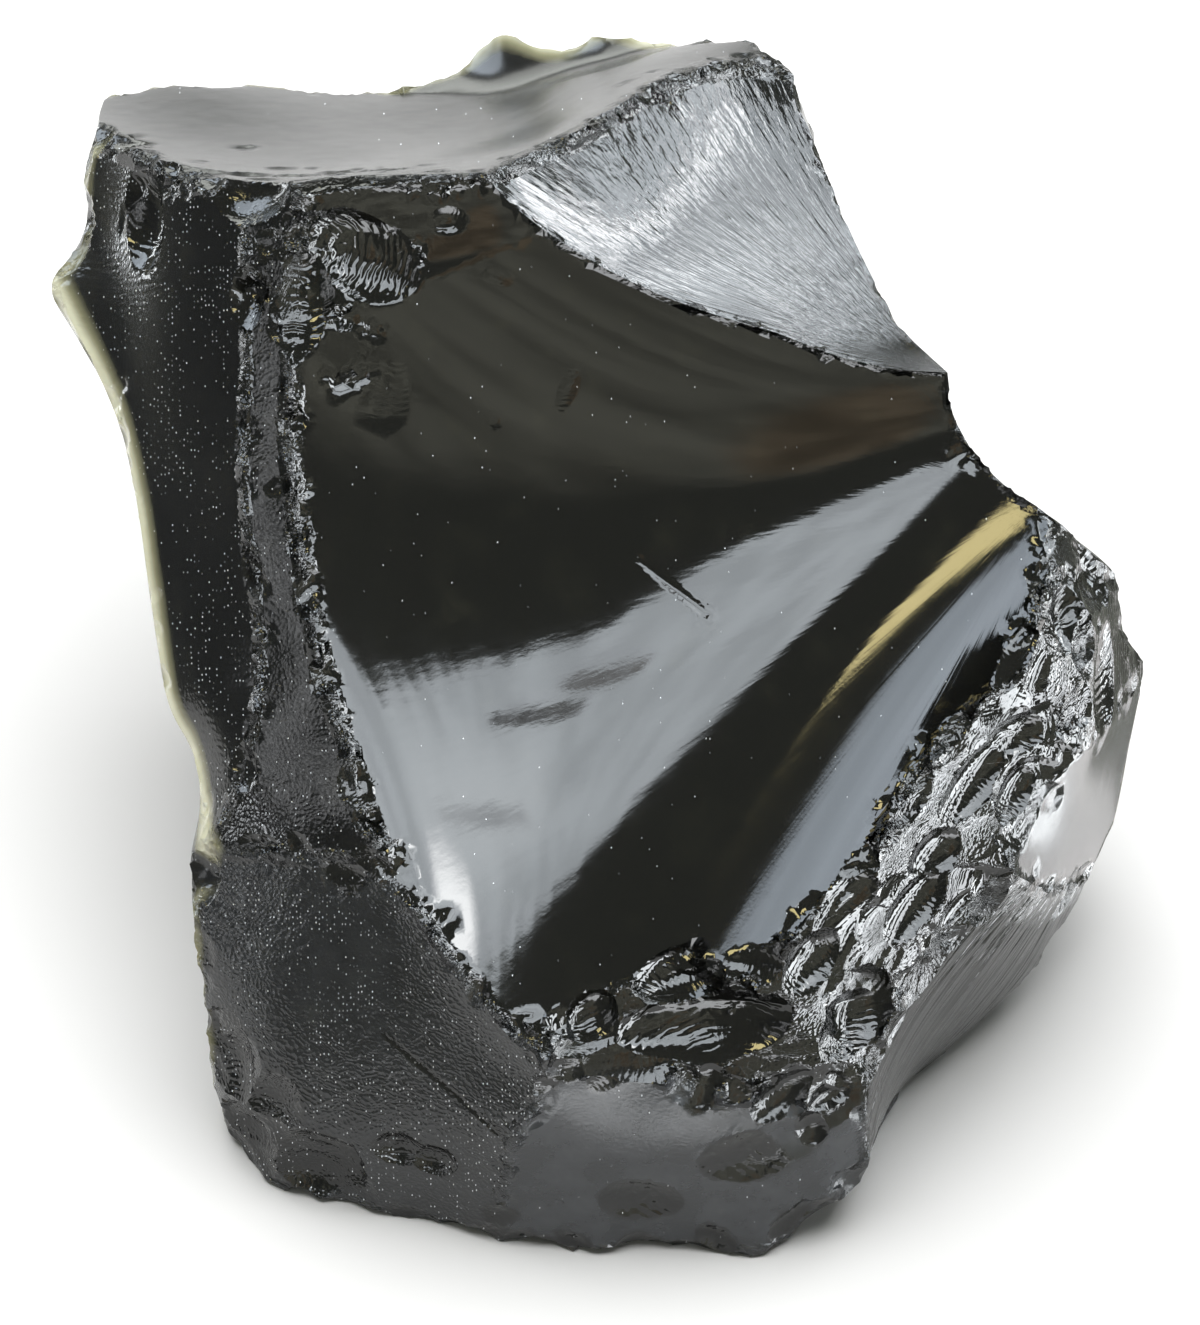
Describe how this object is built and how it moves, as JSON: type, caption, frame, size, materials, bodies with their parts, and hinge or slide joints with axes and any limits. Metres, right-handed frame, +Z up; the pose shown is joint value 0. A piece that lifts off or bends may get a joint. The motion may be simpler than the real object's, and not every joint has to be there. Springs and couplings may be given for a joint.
{
  "type": "obsidian chunk",
  "caption": "Broken lump of black volcanic glass with a great mirror-smooth hollow, crushed edges and flake scars, lying on a flat break.",
  "frame": {"origin": "on the flat break it rests on, below the middle of the lump", "axes": "+Z up as it lies, +X to the right and -Y towards the viewer who looks down into the great hollow"},
  "size_m": [0.154, 0.1526, 0.121],
  "materials": {
    "obsidian": "glossy black volcanic glass, mirror smooth in the hollow, crushed along its edges"
  },
  "bodies": {
    "root": {"obsidian_chunk": "obsidian"}
  },
  "joints": []
}
